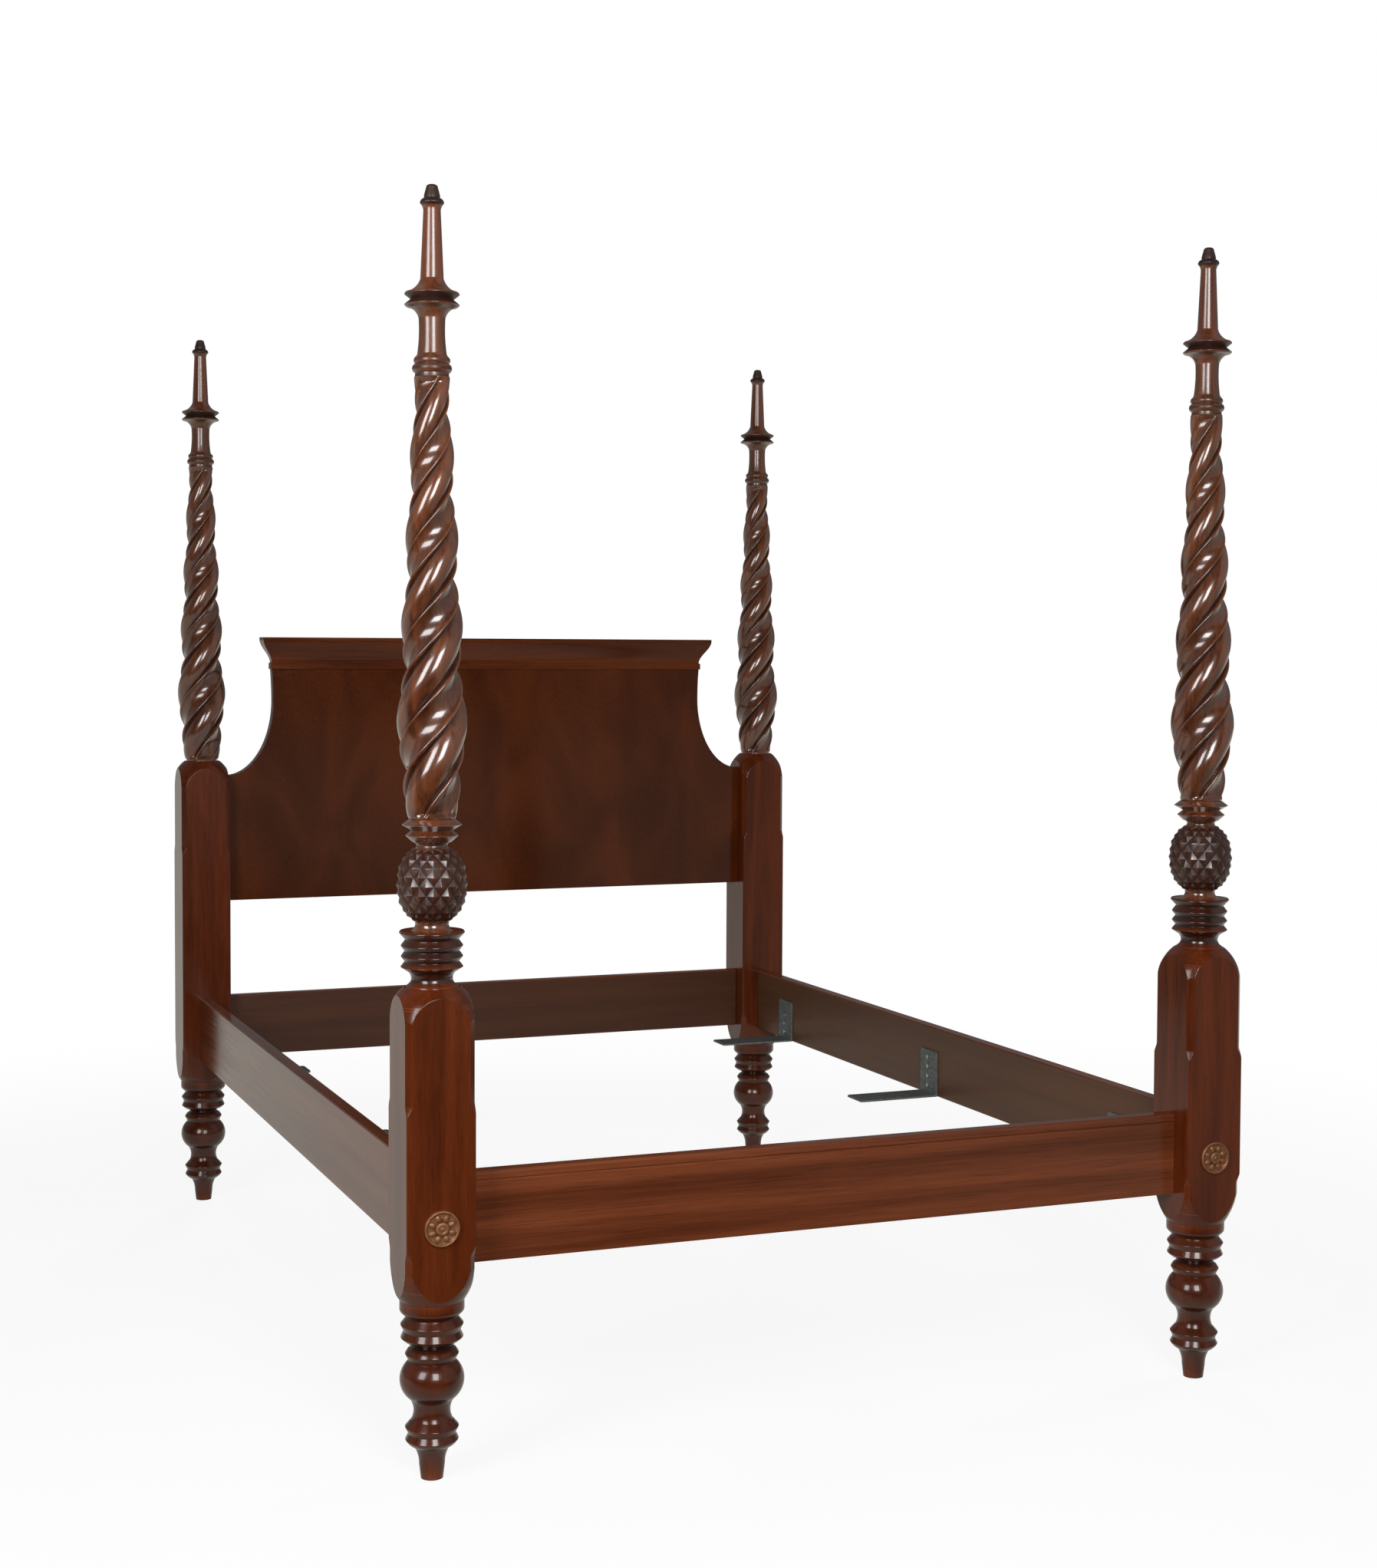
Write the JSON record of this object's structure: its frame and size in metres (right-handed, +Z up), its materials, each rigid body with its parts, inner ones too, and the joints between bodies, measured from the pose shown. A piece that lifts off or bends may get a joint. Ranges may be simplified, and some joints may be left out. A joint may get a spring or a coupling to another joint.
{
  "type": "poster bed",
  "caption": "Tall poster bed frame with rope-twist posts, carved pineapples, lift-off finials, a scooped headboard with a moulded crest and bolted side rails with slat brackets.",
  "frame": {"origin": "on the floor at the centre of the bed's box in plan", "axes": "+X to the right seen from the foot of the bed, +Y from the foot to the headboard, +Z up"},
  "size_m": [1.5426, 2.1226, 2.0362],
  "materials": {
    "mahogany": "gloss lacquer",
    "headboard_mahogany": "gloss lacquer over figured veneer",
    "bracket_steel": "satin",
    "zinc_steel": "zinc plated",
    "antique_brass": "antique"
  },
  "bodies": {
    "frame": {"left_foot_lower_post": "mahogany", "left_foot_upper_post": "mahogany", "right_foot_lower_post": "mahogany", "right_foot_upper_post": "mahogany", "left_head_lower_post": "mahogany", "left_head_upper_post": "mahogany", "right_head_lower_post": "mahogany", "right_head_upper_post": "mahogany", "foot_rail": "mahogany", "head_rail": "mahogany", "left_side_rail": "mahogany", "right_side_rail": "mahogany", "rail_dowels": "mahogany", "headboard_panel": "headboard_mahogany", "headboard_crest": "headboard_mahogany", "left_foot_bracket": "bracket_steel", "left_middle_bracket": "bracket_steel", "left_head_bracket": "bracket_steel", "right_foot_bracket": "bracket_steel", "right_middle_bracket": "bracket_steel", "right_head_bracket": "bracket_steel", "bracket_screws": "bracket_steel", "bed_bolts": "zinc_steel", "bolt_washers": "zinc_steel", "barrel_nuts": "zinc_steel", "left_cover_pin": "antique_brass", "right_cover_pin": "antique_brass"},
    "left_foot_top": {"left_foot_finial": "mahogany", "left_foot_finial_pin": "zinc_steel"},
    "right_foot_top": {"right_foot_finial": "mahogany", "right_foot_finial_pin": "zinc_steel"},
    "left_head_top": {"left_head_finial": "mahogany", "left_head_finial_pin": "zinc_steel"},
    "right_head_top": {"right_head_finial": "mahogany", "right_head_finial_pin": "zinc_steel"},
    "left_cover": {"left_bolt_cover": "antique_brass"},
    "right_cover": {"right_bolt_cover": "antique_brass"}
  },
  "joints": [
    {"name": "left_foot_finial_lift", "type": "slide", "parent": "frame", "child": "left_foot_top", "axis": [0, 0, 1], "range_m": [0, 0.06]},
    {"name": "right_foot_finial_lift", "type": "slide", "parent": "frame", "child": "right_foot_top", "axis": [0, 0, 1], "range_m": [0, 0.06]},
    {"name": "left_head_finial_lift", "type": "slide", "parent": "frame", "child": "left_head_top", "axis": [0, 0, 1], "range_m": [0, 0.06]},
    {"name": "right_head_finial_lift", "type": "slide", "parent": "frame", "child": "right_head_top", "axis": [0, 0, 1], "range_m": [0, 0.06]},
    {"name": "left_cover_turn", "type": "hinge", "parent": "frame", "child": "left_cover", "pos_m": [-0.715, -1.05315, 0.431], "axis": [0, 1, 0], "continuous": true},
    {"name": "right_cover_turn", "type": "hinge", "parent": "frame", "child": "right_cover", "pos_m": [0.715, -1.05315, 0.431], "axis": [0, 1, 0], "continuous": true}
  ]
}
